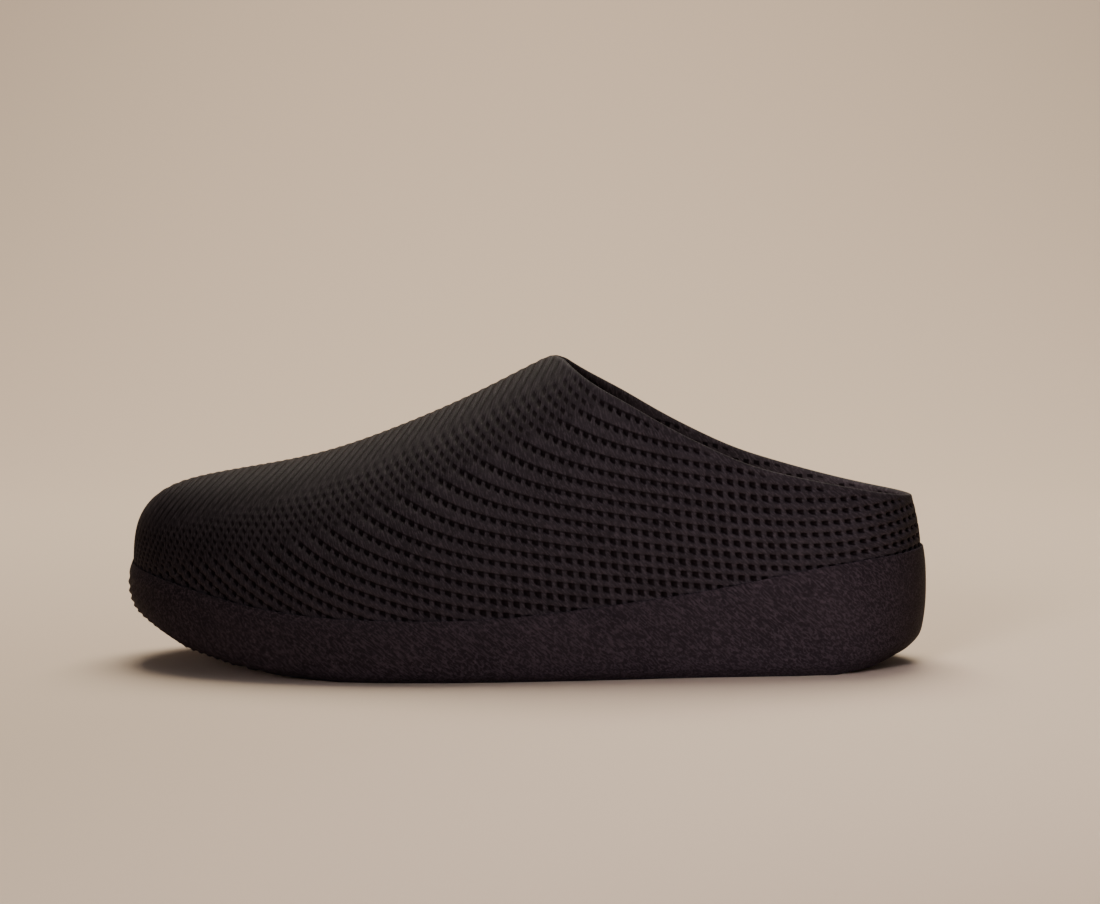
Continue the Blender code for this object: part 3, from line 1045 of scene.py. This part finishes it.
def footbedMaterial():
    setup = footbedSetup
    material, tree, shader = newMaterial("footbedCloth")
    place = addNode(tree, "ShaderNodeTexCoord").outputs["Object"]
    grain = useGroup(tree, grainGroup, {
        "Vector": place, "Grain Size": setup["grainSize"], "Mottle Size": setup["mottleSize"]})
    weave = [addNode(tree, "ShaderNodeTexWave", {"bands_direction": direction},
                     {"Vector": place, "Scale": setup["weaveSize"], "Distortion": setup["weaveDistortion"],
                      "Detail": setup["weaveDetail"]}).outputs["Fac"] for direction in ("X", "Y")]
    cloth = product(tree, *weave)
    thread = setup["threadColour"]
    colour = mixColour(tree, cloth, setup["colour"], thread)
    height = maths(tree, "ADD", cloth, product(tree, grain["Grain"], setup["grainRise"]))
    feed(tree, shader, {
        "Base Color": tint(tree, colour, thread, grain["Mottle"], *setup["mottleTint"]),
        "Roughness": roughFrom(tree, grain["Grain"], *setup["rough"]),
        "Normal": bumpFrom(tree, height, *setup["bump"]),
    })
    return material


footbed = makeFootbed()
footbed.data.materials.append(footbedMaterial())
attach(footbed, "root")
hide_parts("insole")
print("footbed made,", len(footbed.data.polygons), "faces")


# Floor, sweep and light

studio = {
    "floorHalf": 4.0,
    "sweepAt": 1.5,
    "sweepHigh": 2.5,
    "sweepRound": 0.8,
    "sweepSteps": 24,
    "near": 0.01,            # how close counts as on the back edge
    "floorColour": (0.530, 0.416, 0.345, 1),
    "grainSize": 300.0,
    "grainShare": 0.12,
    "grainGain": 0.9,
    "floorRough": 0.85,
    "floorSpecular": 0.1,
    "worldColour": (0.90, 0.92, 0.98, 1),
    "worldPower": 0.165,
    "lights": [  # place, turn, size, spread, power, colour
        ((0.04, 0.65, 1.4), (-0.43, 0.025, 0.0), 1.15, pi, 46.5, (1.0, 0.94, 0.76)),
        ((-0.25, -0.75, 0.27), (1.3, 0.0, -0.555), 0.25, 0.65, 0.46, (1.0, 0.92, 0.94)),
    ],
}


def pickBackEdge(mesh):  # where the floor turns up into the sweep
    back = studio["sweepAt"] - studio["near"]
    for edge in mesh.edges:
        ends = [mesh.vertices[i].co for i in edge.vertices]
        edge.select = all(end.y > back and end.z < studio["near"] for end in ends)


bpy.ops.object.select_all(action="DESELECT")
bpy.ops.mesh.primitive_plane_add(size=2 * studio["floorHalf"],
                                 location=(0, studio["sweepAt"] - studio["floorHalf"], 0))
floor = bpy.context.object
floor.name = "studio_floor"
bpy.ops.object.transform_apply(location=True, rotation=True, scale=True)
bpy.ops.object.mode_set(mode="EDIT")
bpy.ops.mesh.select_all(action="DESELECT")
bpy.ops.object.mode_set(mode="OBJECT")
pickBackEdge(floor.data)
bpy.ops.object.mode_set(mode="EDIT")
bpy.ops.mesh.extrude_region_move(TRANSFORM_OT_translate={"value": (0, 0, studio["sweepHigh"])})
bpy.ops.object.mode_set(mode="OBJECT")
pickBackEdge(floor.data)
bpy.ops.object.mode_set(mode="EDIT")
bpy.ops.mesh.bevel(offset=studio["sweepRound"], segments=studio["sweepSteps"], affect="EDGES")
bpy.ops.object.mode_set(mode="OBJECT")
bpy.ops.object.shade_smooth()
floorMaterial, floorTree, floorShader = newMaterial("paleFloor")
floorPlace = addNode(floorTree, "ShaderNodeTexCoord").outputs["Object"]
floorGrain = useGroup(floorTree, grainGroup, {"Vector": floorPlace, "Grain Size": studio["grainSize"]})
floorShare = product(floorTree, floorGrain["Grain"], studio["grainShare"])
feed(floorTree, floorShader, {
    "Base Color": mixColour(floorTree, floorShare, studio["floorColour"],
                            gained(studio["floorColour"], studio["grainGain"])),
    "Roughness": studio["floorRough"],
    "Specular IOR Level": studio["floorSpecular"],
})
floor.data.materials.append(floorMaterial)

world = bpy.data.worlds.new("softRoom")
world.use_nodes = True
feed(world.node_tree, world.node_tree.nodes["Background"],
     {"Color": studio["worldColour"], "Strength": studio["worldPower"]})
bpy.context.scene.world = world
for lightPlace, lightTurn, lightSize, lightSpread, lightPower, lightColour in studio["lights"]:
    bpy.ops.object.light_add(type="AREA", location=lightPlace, rotation=lightTurn)
    softbox = bpy.context.object
    softbox.data.shape = "SQUARE"
    softbox.data.size = lightSize
    softbox.data.spread = lightSpread
    softbox.data.energy = lightPower
    softbox.data.color = lightColour
    softbox.visible_camera = False
print("studio made")
